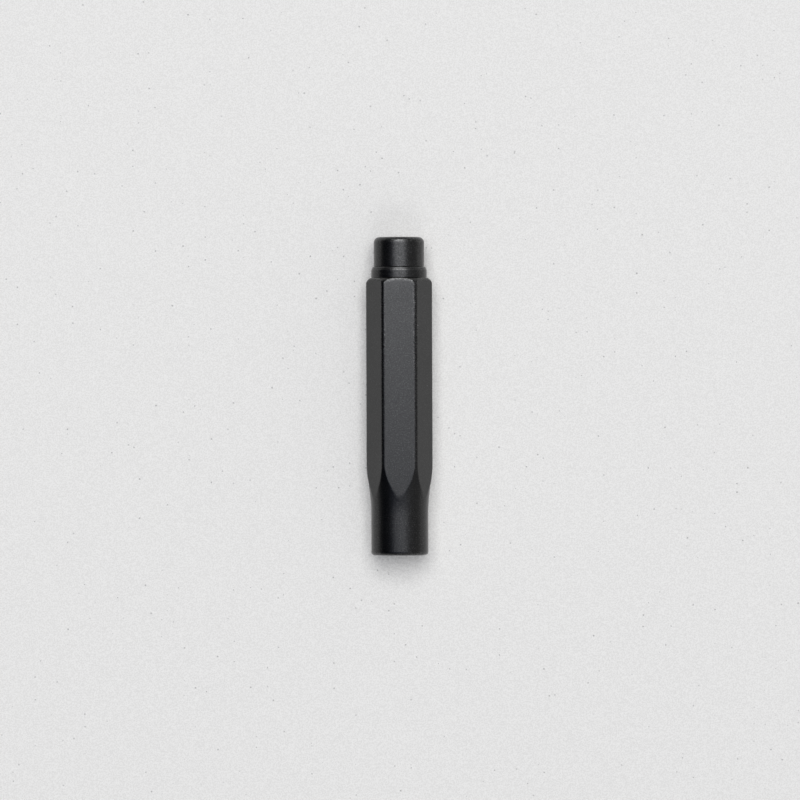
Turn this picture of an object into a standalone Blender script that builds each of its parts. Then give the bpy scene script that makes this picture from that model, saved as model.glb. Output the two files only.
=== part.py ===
"""Pencil cap: a hexagonal aluminium barrel that pushes over the point of a wooden pencil.

The mouth of the barrel is round, and two rubber rings inside it grip the pencil. The other end is
closed by an eraser holder that screws into the barrel, and a smooth knob pulls off the holder to
uncover the eraser. The cap lies on one flat of the hexagon, with its axis along Y and the knob at +Y.

Every piece is turned about the cap's axis. A station is a distance along that axis, and the
stations of the barrel count from its mouth.
"""

import math

import bmesh
import bpy
from mathutils import Matrix

MM = 0.001

# Fits
FIT_GAP = 0.05 * MM  # between two pieces that touch on the real cap
KNOB_CLEARANCE = 0.14 * MM  # between the knob's bore and the spigot inside it
KNOB_HEADROOM = 0.35 * MM  # between the eraser's top and the knob's roof
THREAD_CLEARANCE = 0.1 * MM  # radial, at the thread's crests and roots
FLANK_CLEARANCE = 0.07 * MM  # axial, on each flank of the thread

# Barrel
PENCIL_BORE = 8.3 * MM  # takes pencils up to 8.2 mm across their corners
SOCKET_WALL = 1.175 * MM  # round wall at the mouth
FLAT_WALL = 0.5 * MM  # least wall, from the thread's groove to a flat of the hexagon
EDGE_RADIUS = 0.5 * MM  # long edges of the hexagon
SOCKET_LENGTH = 8.3 * MM
TAPER_LENGTH = 9.3 * MM
HEX_LENGTH = 35.1 * MM
TAPER_HOLLOW_SHARE = 0.6  # share of the taper that curves inwards before it swells
BLANK_MARGIN = 0.02 * MM  # how far the turning stands off the hexagon's corners
CROWN_RADIUS = 1.5 * MM
MOUTH_EDGE_RADIUS = 0.4 * MM
MOUTH_CHAMFER = 0.35 * MM

# Pencil grip, a stack that loads from the knob end
GRIP_DEPTH = 12.0 * MM  # from the mouth to the shoulder that the stack stands on
GRIP_RING_SECTION = 0.9 * MM
GRIP_SPACING = 6.0 * MM
SLEEVE_WALL = 0.4 * MM
PAD_THICKNESS = 1.5 * MM

# Screw thread
THREAD_PITCH = 0.75 * MM
THREAD_DEPTH = 0.4 * MM
THREAD_TURNS = 4
GROOVE_MOUTH_SHARE = 0.76  # width of the groove at the bore, as a share of the pitch
GROOVE_ROOT_SHARE = 0.36  # width of the groove at its root
THREAD_ROOTING = 0.2 * MM  # how far a ridge reaches past the surface that it joins or cuts

# Eraser holder
COLLAR_LEDGE = 0.165 * MM  # ring of the collar that seats on the barrel
COLLAR_HEIGHT = 2.1 * MM
COLLAR_EDGE_RADIUS = 0.4 * MM
SEAL_SECTION = 0.5 * MM
STEM_LEAD = 0.6 * MM  # plain end of the stem below its thread
POCKET_FLOOR = 1.0 * MM
SPIGOT_WALL = 0.4 * MM  # between the eraser's pocket and the ring's groove
ERASER_STAND = 0.8 * MM  # how far the eraser stands out of the spigot
ERASER_EDGE_RADIUS = 0.4 * MM
SMALL_CHAMFER = 0.15 * MM  # edges that are only broken

# Knob
KNOB_STEP = 0.505 * MM  # radius that the knob loses to the collar
KNOB_HEIGHT = 5.5 * MM
KNOB_WALL = 0.77 * MM
KNOB_ROOF = 0.8 * MM
KNOB_EDGE_RADIUS = 1.1 * MM
KNOB_RING_SECTION = 0.6 * MM
KNOB_RING_HEIGHT = 1.0 * MM  # of the ring's middle above the collar

# Fineness of the round surfaces
SEGMENTS = 60
RING_SEGMENTS = 48
SECTION_POINTS = 8
FILLET_STEPS = 4
TAPER_STEPS = 7
EDGE_STEPS = 4
THREAD_STEPS = 24
THREAD_PHASE = math.radians(1.5)  # keeps the ridges' corners off the edges of the surfaces they meet
MERGE = 0.0001 * MM

# Radii, from the pencil outwards and then from the knob inwards
mouth_bore_r = PENCIL_BORE / 2
socket_r = mouth_bore_r + SOCKET_WALL
main_bore_r = mouth_bore_r + SLEEVE_WALL + FIT_GAP
groove_root_r = main_bore_r + THREAD_DEPTH
flat_r = groove_root_r + FLAT_WALL
sharp_corner_r = flat_r / math.cos(math.pi / 6)
corner_r = sharp_corner_r - EDGE_RADIUS * (1 / math.cos(math.pi / 6) - 1)
blank_r = corner_r + BLANK_MARGIN
recess_r = groove_root_r + FIT_GAP
collar_r = recess_r + COLLAR_LEDGE
stem_r = main_bore_r - THREAD_CLEARANCE
thread_crest_r = groove_root_r - THREAD_CLEARANCE
sleeve_r = main_bore_r - FIT_GAP
seal_inner_r = recess_r - FIT_GAP - SEAL_SECTION
neck_r = seal_inner_r - FIT_GAP
knob_r = collar_r - KNOB_STEP
knob_bore_r = knob_r - KNOB_WALL
spigot_r = knob_bore_r - KNOB_CLEARANCE
knob_ring_r = knob_bore_r - FIT_GAP
ring_groove_r = knob_ring_r - KNOB_RING_SECTION - FIT_GAP
pocket_r = ring_groove_r - SPIGOT_WALL
eraser_r = pocket_r - FIT_GAP

# Stations of the barrel and of the stack inside it
barrel_length = SOCKET_LENGTH + TAPER_LENGTH + HEX_LENGTH
recess_depth = SEAL_SECTION + 2 * FIT_GAP
holder_station = barrel_length + FIT_GAP
neck_height = recess_depth + FIT_GAP
stem_length = neck_height + (THREAD_TURNS + 1) * THREAD_PITCH + STEM_LEAD
pad_station = holder_station - stem_length - FIT_GAP - PAD_THICKNESS
front_ring_station = GRIP_DEPTH + FIT_GAP
spacer_station = front_ring_station + GRIP_RING_SECTION + FIT_GAP
rear_ring_station = spacer_station + GRIP_SPACING + FIT_GAP
liner_station = rear_ring_station + GRIP_RING_SECTION + FIT_GAP
liner_length = pad_station - FIT_GAP - liner_station

# Heights above the collar's underside
thread_start = STEM_LEAD + THREAD_PITCH / 2 - stem_length
pocket_floor = POCKET_FLOOR - stem_length
knob_seat = COLLAR_HEIGHT + FIT_GAP
eraser_top = knob_seat + KNOB_HEIGHT - KNOB_ROOF - KNOB_HEADROOM
spigot_top = eraser_top - ERASER_STAND
overall_length = holder_station + knob_seat + KNOB_HEIGHT


def finish(name, colour, roughness, metallic=0.0):
    """A material of one plain colour."""
    material = bpy.data.materials.new(name)
    material.use_nodes = True
    shader = material.node_tree.nodes["Principled BSDF"]
    shader.inputs["Base Color"].default_value = (*colour, 1.0)
    shader.inputs["Roughness"].default_value = roughness
    shader.inputs["Metallic"].default_value = metallic
    material.diffuse_color = (*colour, 1.0)
    return material


def empty(name, parent=None, station=0.0):
    """An empty on the cap's axis, which carries the pieces that move together."""
    made = bpy.data.objects.new(name, None)
    bpy.context.scene.collection.objects.link(made)
    made.empty_display_size = flat_r
    made.parent = parent
    made.location.z = station
    return made


def piece(name, bm, material, parent, station=0.0):
    """A named object from a mesh that is drawn around its own origin, placed at a station of its parent."""
    bmesh.ops.recalc_face_normals(bm, faces=bm.faces)
    mesh = bpy.data.meshes.new(name)
    bm.to_mesh(mesh)
    bm.free()
    mesh.shade_smooth()
    mesh.set_sharp_from_angle(angle=math.radians(32))
    mesh.materials.append(material)
    made = bpy.data.objects.new(name, mesh)
    bpy.context.scene.collection.objects.link(made)
    made.parent = parent
    made.location.z = station
    return made


def tool(name, bm, parent, station=0.0):
    """A helper for a Boolean, which is not a piece of the cap."""
    made = piece(name, bm, finish(name, (0.8, 0.2, 0.2), 0.5), parent, station)
    made.hide_render = True
    made.display_type = "WIRE"
    return made


def boolean(target, operation, other):
    modifier = target.modifiers.new(f"{operation.lower()} {other.name}", "BOOLEAN")
    modifier.operation = operation
    modifier.solver = "EXACT"
    modifier.object = other


def arc(centre, radius, first, last, steps):
    """Points (radius, station) on an arc. Angles are in degrees: 0 points away from the axis, 90 to the knob."""
    angles = [math.radians(first + (last - first) * k / steps) for k in range(steps + 1)]
    return [(centre[0] + radius * math.cos(a), centre[1] + radius * math.sin(a)) for a in angles]


def turned(outline, segments=SEGMENTS):
    """Spins an outline of (radius, station) points round the axis. An outline that starts on the axis ends on it."""
    bm = bmesh.new()
    points = [bm.verts.new((r, 0.0, station)) for r, station in outline]
    pairs = list(zip(points, points[1:]))
    if outline[0][0] > 0:
        pairs.append((points[-1], points[0]))
    edges = [bm.edges.new(pair) for pair in pairs]
    bmesh.ops.spin(
        bm,
        geom=points + edges,
        cent=(0, 0, 0),
        axis=(0, 0, 1),
        angle=2 * math.pi,
        steps=segments,
        use_merge=True,
    )
    bmesh.ops.remove_doubles(bm, verts=bm.verts, dist=MERGE)
    return bm


def ring(inner_r, section):
    """A rubber ring of round section that stands on station 0."""
    radius = section / 2
    outline = [
        (
            inner_r + radius + radius * math.cos(2 * math.pi * k / SECTION_POINTS),
            radius + radius * math.sin(2 * math.pi * k / SECTION_POINTS),
        )
        for k in range(SECTION_POINTS)
    ]
    return turned(outline, RING_SEGMENTS)


def groove_half_width(radius):
    """Half the width of the barrel's thread groove at a radius: its flanks are straight lines."""
    mouth = GROOVE_MOUTH_SHARE * THREAD_PITCH / 2
    root = GROOVE_ROOT_SHARE * THREAD_PITCH / 2
    return mouth + (root - mouth) * (radius - main_bore_r) / THREAD_DEPTH


def thread_ridge(inner_r, outer_r, play, start, turns):
    """A helical ridge with the groove's flanks, narrowed by play on each side. Start is its first station."""
    bm = bmesh.new()
    corners = []
    for radius, side in ((inner_r, -1), (outer_r, -1), (outer_r, 1), (inner_r, 1)):
        station = start + side * (groove_half_width(radius) - play)
        corners.append(bm.verts.new((radius, 0.0, station)))
    face = bm.faces.new(corners)
    bmesh.ops.spin(
        bm,
        geom=corners + list(face.edges) + [face],
        cent=(0, 0, 0),
        axis=(0, 0, 1),
        dvec=(0, 0, THREAD_PITCH / THREAD_STEPS),
        angle=2 * math.pi * turns,
        steps=turns * THREAD_STEPS,
    )
    bmesh.ops.rotate(bm, verts=bm.verts, cent=(0, 0, 0), matrix=Matrix.Rotation(THREAD_PHASE, 3, "Z"))
    return bm


def hexagon_bar():
    """The hexagonal bar that the barrel is turned from, longer than the barrel at both ends."""
    bm = bmesh.new()
    spare = CROWN_RADIUS
    arc_centre_r = (flat_r - EDGE_RADIUS) / math.cos(math.pi / 6)
    outline = []
    for corner in range(6):
        facing = 60 * corner
        centre = (
            arc_centre_r * math.cos(math.radians(facing)),
            arc_centre_r * math.sin(math.radians(facing)),
        )
        outline += arc(centre, EDGE_RADIUS, facing - 30, facing + 30, EDGE_STEPS)
    face = bm.faces.new([bm.verts.new((x, y, -spare)) for x, y in outline])
    grown = bmesh.ops.extrude_face_region(bm, geom=[face])["geom"]
    top = [v for v in grown if isinstance(v, bmesh.types.BMVert)]
    bmesh.ops.translate(bm, verts=top, vec=(0, 0, barrel_length + 2 * spare))
    return bm


def taper_outline():
    """The turned taper from the round socket out to the corners: a hollow arc, then a swelling one that meets it."""
    rise = blank_r - socket_r
    slope = 2 * math.degrees(math.atan2(rise, TAPER_LENGTH))
    radii_sum = TAPER_LENGTH / math.sin(math.radians(slope))
    hollow = TAPER_HOLLOW_SHARE * radii_sum
    swell = radii_sum - hollow
    start, end = SOCKET_LENGTH, SOCKET_LENGTH + TAPER_LENGTH
    inward = arc((socket_r + hollow, start), hollow, 180, 180 - slope, TAPER_STEPS)
    outward = arc((blank_r - swell, end), swell, -slope, 0, TAPER_STEPS)
    return inward + outward[1:]


def crown_outline():
    """The rounded shoulder at the knob end, faced off flat where the collar seats."""
    centre_r = blank_r - CROWN_RADIUS
    reach = max(0.0, (collar_r - centre_r) / CROWN_RADIUS)
    last = math.degrees(math.acos(reach))
    centre = (centre_r, barrel_length - CROWN_RADIUS * math.sin(math.radians(last)))
    return arc(centre, CROWN_RADIUS, 0, last, FILLET_STEPS + 2)


def barrel(material, parent):
    """A hexagonal bar turned at both ends, bored for the pencil, and threaded at the knob end."""
    edge_centre = (socket_r - MOUTH_EDGE_RADIUS, MOUTH_EDGE_RADIUS)
    outside = arc(edge_centre, MOUTH_EDGE_RADIUS, -90, 0, FILLET_STEPS) + taper_outline() + crown_outline()
    inside = [
        (recess_r, barrel_length),
        (recess_r, barrel_length - recess_depth),
        (main_bore_r, barrel_length - recess_depth),
        (main_bore_r, GRIP_DEPTH),
        (mouth_bore_r, GRIP_DEPTH),
        (mouth_bore_r, MOUTH_CHAMFER),
        (mouth_bore_r + MOUTH_CHAMFER, 0.0),
    ]
    made = piece("barrel", turned(outside + inside), material, parent)
    boolean(made, "INTERSECT", tool("hexagon_bar", hexagon_bar(), parent))
    # The groove runs one turn further than the holder's thread at each end.
    start = holder_station + thread_start - THREAD_PITCH
    tap = thread_ridge(main_bore_r - THREAD_ROOTING, groove_root_r, 0.0, start, THREAD_TURNS + 2)
    boolean(made, "DIFFERENCE", tool("barrel_tap", tap, parent))
    return made


def sleeve(name, length, material, parent, station):
    """A plain tube that lines the main bore, level with the bore at the mouth."""
    outline = [
        (mouth_bore_r, 0.0),
        (sleeve_r - SMALL_CHAMFER, 0.0),
        (sleeve_r, SMALL_CHAMFER),
        (sleeve_r, length - SMALL_CHAMFER),
        (sleeve_r - SMALL_CHAMFER, length),
        (mouth_bore_r, length),
    ]
    return piece(name, turned(outline, RING_SEGMENTS), material, parent, station)


def pencil_grip(rubber, plastic, parent):
    """Two rubber rings held apart by a spacer, with the liner above them that the holder clamps down."""
    inner_r = sleeve_r - GRIP_RING_SECTION
    for name, station in (("front_grip_ring", front_ring_station), ("rear_grip_ring", rear_ring_station)):
        piece(name, ring(inner_r, GRIP_RING_SECTION), rubber, parent, station)
    sleeve("grip_spacer", GRIP_SPACING, plastic, parent, spacer_station)
    sleeve("liner_tube", liner_length, plastic, parent, liner_station)


def eraser_holder(material, parent):
    """A threaded stem, the collar that shows, and a hollow spigot that holds the eraser and carries the knob."""
    groove_low = COLLAR_HEIGHT + KNOB_RING_HEIGHT - KNOB_RING_SECTION / 2 - FIT_GAP
    groove_high = groove_low + KNOB_RING_SECTION + 2 * FIT_GAP
    collar_edge = (collar_r - COLLAR_EDGE_RADIUS, COLLAR_HEIGHT - COLLAR_EDGE_RADIUS)
    outline = [
        (0.0, -stem_length),
        (stem_r - 2 * SMALL_CHAMFER, -stem_length),
        (stem_r, 2 * SMALL_CHAMFER - stem_length),
        (stem_r, -neck_height),
        (neck_r, -neck_height),
        (neck_r, 0.0),
        (collar_r - SMALL_CHAMFER, 0.0),
        (collar_r, SMALL_CHAMFER),
        *arc(collar_edge, COLLAR_EDGE_RADIUS, 0, 90, FILLET_STEPS),
        (spigot_r, COLLAR_HEIGHT),
        (spigot_r, groove_low),
        (ring_groove_r, groove_low),
        (ring_groove_r, groove_high),
        (spigot_r, groove_high),
        (spigot_r, spigot_top - SMALL_CHAMFER),
        (spigot_r - SMALL_CHAMFER, spigot_top),
        (pocket_r + SMALL_CHAMFER, spigot_top),
        (pocket_r, spigot_top - SMALL_CHAMFER),
        (pocket_r, pocket_floor),
        (0.0, pocket_floor),
    ]
    made = piece("eraser_holder", turned(outline), material, parent)
    ridge = thread_ridge(stem_r - THREAD_ROOTING, thread_crest_r, FLANK_CLEARANCE, thread_start, THREAD_TURNS)
    boolean(made, "UNION", tool("holder_thread", ridge, parent))
    return made


def eraser(material, parent):
    """A plug of eraser in the holder's pocket, with a rounded working end."""
    bottom = pocket_floor + FIT_GAP
    length = eraser_top - bottom
    edge_centre = (eraser_r - ERASER_EDGE_RADIUS, length - ERASER_EDGE_RADIUS)
    outline = [
        (0.0, 0.0),
        (eraser_r - SMALL_CHAMFER, 0.0),
        (eraser_r, SMALL_CHAMFER),
        *arc(edge_centre, ERASER_EDGE_RADIUS, 0, 90, FILLET_STEPS),
        (0.0, length),
    ]
    return piece("eraser", turned(outline, RING_SEGMENTS), material, parent, bottom)


def point_pad(material, parent):
    """A soft disc under the stem, which the pencil's point meets."""
    pad_r = sleeve_r - SMALL_CHAMFER
    outline = [
        (0.0, 0.0),
        (pad_r - SMALL_CHAMFER, 0.0),
        (pad_r, SMALL_CHAMFER),
        (pad_r, PAD_THICKNESS),
        (0.0, PAD_THICKNESS),
    ]
    station = -stem_length - FIT_GAP - PAD_THICKNESS
    return piece("point_pad", turned(outline, RING_SEGMENTS), material, parent, station)


def holder_rings(rubber, parent):
    """The ring that seals the collar to the barrel, and the ring on the spigot that holds the knob."""
    seal_station = FIT_GAP - recess_depth
    piece("collar_seal_ring", ring(seal_inner_r, SEAL_SECTION), rubber, parent, seal_station)
    knob_ring_station = COLLAR_HEIGHT + KNOB_RING_HEIGHT - KNOB_RING_SECTION / 2
    knob_ring = ring(knob_ring_r - KNOB_RING_SECTION, KNOB_RING_SECTION)
    piece("knob_ring", knob_ring, rubber, parent, knob_ring_station)


def knob(material, parent):
    """A smooth turned thimble that covers the eraser."""
    roof = KNOB_HEIGHT - KNOB_ROOF
    edge_centre = (knob_r - KNOB_EDGE_RADIUS, KNOB_HEIGHT - KNOB_EDGE_RADIUS)
    outline = [
        (0.0, roof),
        (knob_bore_r, roof),
        (knob_bore_r, SMALL_CHAMFER),
        (knob_bore_r + SMALL_CHAMFER, 0.0),
        (knob_r - SMALL_CHAMFER, 0.0),
        (knob_r, SMALL_CHAMFER),
        *arc(edge_centre, KNOB_EDGE_RADIUS, 0, 90, FILLET_STEPS + 2),
        (0.0, KNOB_HEIGHT),
    ]
    return piece("knob", turned(outline), material, parent)


def main():
    for obj in list(bpy.data.objects):
        bpy.data.objects.remove(obj, do_unlink=True)

    anodised = finish("black anodised aluminium", (0.02, 0.02, 0.022), 0.45, 0.3)
    rubber = finish("black rubber", (0.015, 0.015, 0.015), 0.7)
    plastic = finish("black acetal", (0.03, 0.03, 0.03), 0.5)
    vinyl = finish("white eraser vinyl", (0.82, 0.81, 0.78), 0.8)
    felt = finish("grey felt", (0.25, 0.25, 0.26), 0.95)

    # The axis lies half a hexagon above the ground, with the knob towards +Y.
    cap_axis = empty("cap_axis")
    cap_axis.location = (0.0, -overall_length / 2, flat_r)
    cap_axis.rotation_euler = (-math.pi / 2, 0.0, 0.0)
    holder_axis = empty("holder_axis", cap_axis, holder_station)
    knob_axis = empty("knob_axis", holder_axis, knob_seat)

    barrel(anodised, cap_axis)
    pencil_grip(rubber, plastic, cap_axis)
    eraser_holder(anodised, holder_axis)
    holder_rings(rubber, holder_axis)
    eraser(vinyl, holder_axis)
    point_pad(felt, holder_axis)
    knob(anodised, knob_axis)


main()
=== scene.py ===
"""Pencil cap, dressed: the fine surface and finish of every piece, a pale floor, studio light and a camera.

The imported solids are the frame. Each operator but the stage's makes one piece, or a group of like pieces, as
a surface of two parameters: the angle round the cap's axis, and the row of a turned outline. A station is a
distance along the axis from the barrel's mouth. The axis runs along Y, with the knob towards +Y, and angle 0
points to +X.
"""

import math

import bpy
import numpy as np
from bpy.props import FloatProperty, FloatVectorProperty, IntProperty, PointerProperty
from bpy.types import Operator, Panel, PropertyGroup
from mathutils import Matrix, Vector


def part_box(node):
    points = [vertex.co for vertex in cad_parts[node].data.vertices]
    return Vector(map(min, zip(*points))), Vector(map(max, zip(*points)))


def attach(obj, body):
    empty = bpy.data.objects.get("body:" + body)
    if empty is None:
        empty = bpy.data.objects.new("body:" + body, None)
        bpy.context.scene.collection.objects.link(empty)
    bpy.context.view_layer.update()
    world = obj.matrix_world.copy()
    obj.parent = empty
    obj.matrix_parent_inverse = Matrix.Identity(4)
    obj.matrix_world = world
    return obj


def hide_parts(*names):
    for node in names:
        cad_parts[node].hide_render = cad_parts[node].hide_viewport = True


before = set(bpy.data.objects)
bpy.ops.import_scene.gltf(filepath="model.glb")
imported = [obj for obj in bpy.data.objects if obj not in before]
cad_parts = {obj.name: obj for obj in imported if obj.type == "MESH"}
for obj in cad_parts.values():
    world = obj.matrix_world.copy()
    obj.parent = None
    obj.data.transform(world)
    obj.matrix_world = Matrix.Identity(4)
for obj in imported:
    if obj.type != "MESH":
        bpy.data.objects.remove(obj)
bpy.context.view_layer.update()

bl_info = {
    "name": "Pencil Cap",
    "version": (1, 0, 0),
    "blender": (4, 5, 0),
    "location": "View3D > Sidebar > Pencil Cap",
    "description": "Builds the dressed pencil cap around its packed solids",
    "category": "Add Mesh",
}

MM = 0.001
SMALLEST = 1e-9  # keeps a division by a length from failing

# Where the cap lies in the frame
BARREL_LOW, BARREL_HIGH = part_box("barrel")
HALF_HEIGHT = (BARREL_HIGH.z - BARREL_LOW.z) / 2
MOUTH_Y = BARREL_LOW.y
AXIS_Z = (BARREL_LOW.z + BARREL_HIGH.z) / 2
FULLER = 0.07 * MM  # how much fuller than its solids the photo shows the cap
CLEARANCE = 0.05 * MM  # between pieces that touch on the real cap

# Hexagon, with its corners on angle 0 and every sector after it
SIDES = 6
SECTOR = math.pi / 3
HALF_SECTOR = math.pi / 6

# Fineness of the surfaces
ROUND_COLUMNS = 192
EDGE_COLUMNS = 7
FLAT_COLUMNS = 21
ARC_STEPS = 8
RING_ROWS = 32
SOCKET_ROWS = 6
TAPER_ROWS = 34
HEX_ROWS = 40
CROWN_ROWS = 16
THREAD_ROWS_PER_PITCH = 14
PLAIN_ROWS = 3
SLEEVE_ROWS = 4
ERASER_ROWS = 6
FLAT_SUPPORT = 0.03 * MM  # from an arc to the point that keeps the next run flat

# Outward bends of a surface, in radians per millimetre
# on bends the metal's speckle is stronger, as a painted sparkle of the highlights there
FULL_BEND = 0.55  # where the metal's speckle is full
EDGE_BEND = 0.4  # where an edge starts
SHARP_BEND = 2.1  # where an edge is sharp
# on the metal an edge's rub also carries a painted highlight, which runs out beside it the same way
EDGE_SPREAD = 5  # columns over which an edge's wear runs out beside it

# Roundings of edges and of inner corners
RECESS_EDGE = 0.05 * MM
GRIP_CORNER = 0.1 * MM
GRIP_EDGE = 0.08 * MM
LEAD_IN_EDGE = 0.15 * MM
RIM_EDGE = 0.1 * MM
SLEEVE_BORE_EDGE = 0.06 * MM
SLEEVE_EDGE = 0.12 * MM
STEM_EDGE = 0.3 * MM
NECK_CORNER = 0.05 * MM
SEAT_EDGE = 0.03 * MM
BEVEL_LOW_EDGE = 0.25 * MM
BEVEL_HIGH_EDGE = 0.3 * MM
COLLAR_CORNER = 0.1 * MM
GROOVE_EDGE = 0.05 * MM
SPIGOT_EDGE = 0.12 * MM
POCKET_CORNER = 0.2 * MM
ERASER_LOW_EDGE = 0.15 * MM
ERASER_EDGE = 0.5 * MM
PAD_LOW_EDGE = 0.3 * MM
PAD_EDGE = 0.1 * MM
ROOF_CORNER = 0.3 * MM
SKIRT_BORE_EDGE = 0.15 * MM

# Thread
RUN_OUT_TURNS = 1  # turns of stem that the two ends of its ridge take up
SPARE_TURNS = 2  # turns that the bore's groove has more than the stem's ridge
THREAD_FADE = 0.1  # turns over which the thread fades out at each end
NECK_SLOPE = 2  # rise of the step below the neck, over its depth

# Scales of the finishes, in cells per metre
METAL_GRAIN = 4500.0
# scale of the metal's rubbed edges, which also paint a highlight along them
METAL_RUB_AND_HIGHLIGHT_SCALE = 3200.0
RUBBER_GRAIN = 3000.0
ACETAL_GRAIN = 2500.0
VINYL_GRAIN = 4000.0
VINYL_RUB = 1500.0
FELT_GRAIN = 3500.0
FELT_FIBRES = 6000.0
BOARD_GRAIN = 4200.0
BOARD_PITS = 950.0

# Ranges over which noise turns into an effect
GRAIN_RANGE = (0.3, 0.7)
GLINT_RANGE = (0.6, 0.8)
WEAR_RANGE = (0.35, 0.75)
FIBRE_RANGE = (0.35, 0.7)
SPECK_RANGE = (0.75, 1.0)

# Sizes and strengths of the effects
COARSER = 0.3  # scale of the coarse noise over the grain's
SLOWER = 0.04  # scale of the mottle over the grain's
SPECK_CORE = 0.6  # share of a speck that is full
SPECK_RIM = 0.001  # least width of a speck's soft rim
PIT_SIZE = 0.2  # largest pit, in cells
# strength of the metal's rubbed edges: partly real rub, partly painted highlight
METAL_RUB_AND_HIGHLIGHT_AMOUNT = 0.8
VINYL_RUB_AMOUNT = 0.6
FIBRE_LAY = (1.0, 1.0, 0.2)  # how fast the felt's fibres change along X, Y and Z
LATHE_FEED = 0.12 * MM  # from one lathe ring to the next
LATHE_SHARE = 0.4  # height of the lathe's rings beside the grain's

# Speckle of the metal: what each part adds to its colour, and how strongly on flats and on bends. The glints
# are painted highlights, and the stronger speckle on bends paints the sparkle of the highlights on fillets and
# edges.
DARK_GRAIN = -0.14
LIGHT_GRAIN = 0.12
GLINT = 0.6
SPECKLE_ON_FLATS = 1.0
SPECKLE_AND_SPARKLE_ON_BENDS = 3.2

# Colours of other details over their finish's own colour
# colour of the metal's rubbed edges, lighter also as a painted highlight along the rolled edges
RUBBED_AND_HIGHLIGHTED_METAL = 2.4
RUBBER_BLOOM = 2.2
PALER_ACETAL = 1.6
DULLER_VINYL = 0.95
GRAPHITE = 0.35
PALER_FELT = 1.7
DARK_BOARD = 0.925
LIGHT_BOARD = 1.075
PIT = 0.6
# glow of the floor on its dark and on its light grain: a painted shading of the board's tooth, which shows
# most in the floor's shadows
TOOTH_SHADING_GLOW_WHERE_DARK = (1.8, 1.8, 1.8)
TOOTH_SHADING_GLOW_WHERE_LIGHT = (0.2, 0.2, 0.2)

# Roughness, as one value or as the two ends of a mottle
METAL_ROUGHNESS = (0.325, 0.35)
RUBBER_ROUGHNESS = (0.52, 0.66)
ACETAL_ROUGHNESS = (0.36, 0.48)
VINYL_ROUGHNESS = (0.68, 0.82)
FELT_ROUGHNESS = 0.95
BOARD_ROUGHNESS = 0.9
RUBBED_SMOOTHER = 0.06

# Depths of relief, and of light in the eraser
METAL_RELIEF = 0.004 * MM
RUBBER_RELIEF = 0.006 * MM
ACETAL_RELIEF = 0.004 * MM
VINYL_RELIEF = 0.008 * MM
FELT_RELIEF = 0.05 * MM
VINYL_DEPTH = 0.4 * MM
VINYL_DEPTH_WEIGHT = 0.1

# Parts of the room: how far a direction goes along X, Z and Y where each of them starts and ends its change
ROOM_TO_RIGHT = (-0.2, 0.4)
ROOM_UPWARDS = (0.7, 0.95)
ROOM_PAST_MOUTH = (-0.85, -0.5)

# Sockets of a Mix node that mixes colours
MIX_FIRST = 6
MIX_SECOND = 7
MIX_RESULT = 2


# Settings


def span(node):
    """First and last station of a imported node."""
    low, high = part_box(node)
    return low.y - MOUTH_Y, high.y - MOUTH_Y


def reach(node):
    """Outer radius of a packed round node."""
    low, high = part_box(node)
    return (high.x - low.x) / 2


def length(name, description, default):
    """A property that holds a size."""
    return FloatProperty(
        name=name, description=description, default=default, min=0.0, precision=5, unit="LENGTH"
    )


def offset(name, description, default):
    """A property that holds a place on either side of the frame's middle."""
    return FloatProperty(name=name, description=description, default=default, precision=5, unit="LENGTH")


def bearing(name, description, degrees):
    """A property that holds an angle."""
    return FloatProperty(name=name, description=description, default=math.radians(degrees), subtype="ANGLE")


def share(name, description, default):
    """A property that holds a share of one."""
    return FloatProperty(name=name, description=description, default=default, min=0.0, max=1.0, precision=4)


def radiance(name, description, default):
    """A property that holds the strength of a light."""
    return FloatProperty(name=name, description=description, default=default, min=0.0, precision=4)


def colour(name, description, default):
    """A property that holds a colour in linear light."""
    return FloatVectorProperty(
        name=name, description=description, default=default, size=3, min=0.0, max=1.0, subtype="COLOR"
    )


class BarrelSizes(PropertyGroup):
    """Sizes of the hexagonal barrel, its turned ends and its bore."""

    flat_radius: length("Flat radius", "Axis to a flat of the hexagon", HALF_HEIGHT + FULLER)
    edge_radius: length("Edge radius", "Rounding of the hexagon's long edges", 1.0 * MM)
    barrel_length: length("Length", "Mouth to the collar's seat", BARREL_HIGH.y - BARREL_LOW.y)
    socket_radius: length("Socket radius", "Round outside at the mouth", 5.41 * MM)
    socket_length: length("Socket length", "Straight round part at the mouth", 7.55 * MM)
    taper_length: length("Taper length", "From the round socket to the full hexagon", 11.3 * MM)
    taper_hollow: share("Taper hollow", "Share of the taper that curves inwards", 0.535)
    blank_margin: length("Blank margin", "Turned blank outside the hexagon's corners", 0.06 * MM)
    crown_radius: length("Crown radius", "Turned shoulder at the knob end", 1.65 * MM)
    shoulder_radius: length("Shoulder radius", "Flat end face that the collar sits on", 5.35 * MM)
    crown_blend: share("Crown blend", "How far each flat rolls over into the crown", 0.6)
    crease_softness: length("Crease softness", "Depth over which the taper's creases are rounded", 0.05 * MM)
    mouth_edge: length("Mouth edge", "Rounding outside the mouth", 0.65 * MM)
    mouth_chamfer: length("Mouth chamfer", "Lead-in for the pencil", 0.35 * MM)
    mouth_bore: length("Mouth bore radius", "Bore that the pencil enters", 4.15 * MM)
    main_bore: length("Main bore radius", "Bore that holds the grip stack", 4.6 * MM)
    grip_depth: length("Grip depth", "Mouth to the shoulder under the grip stack", 12.0 * MM)
    recess_radius: length("Recess radius", "Recess for the collar's rubber ring", 5.05 * MM)
    recess_depth: length("Recess depth", "Depth of that recess", 0.6 * MM)


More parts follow.
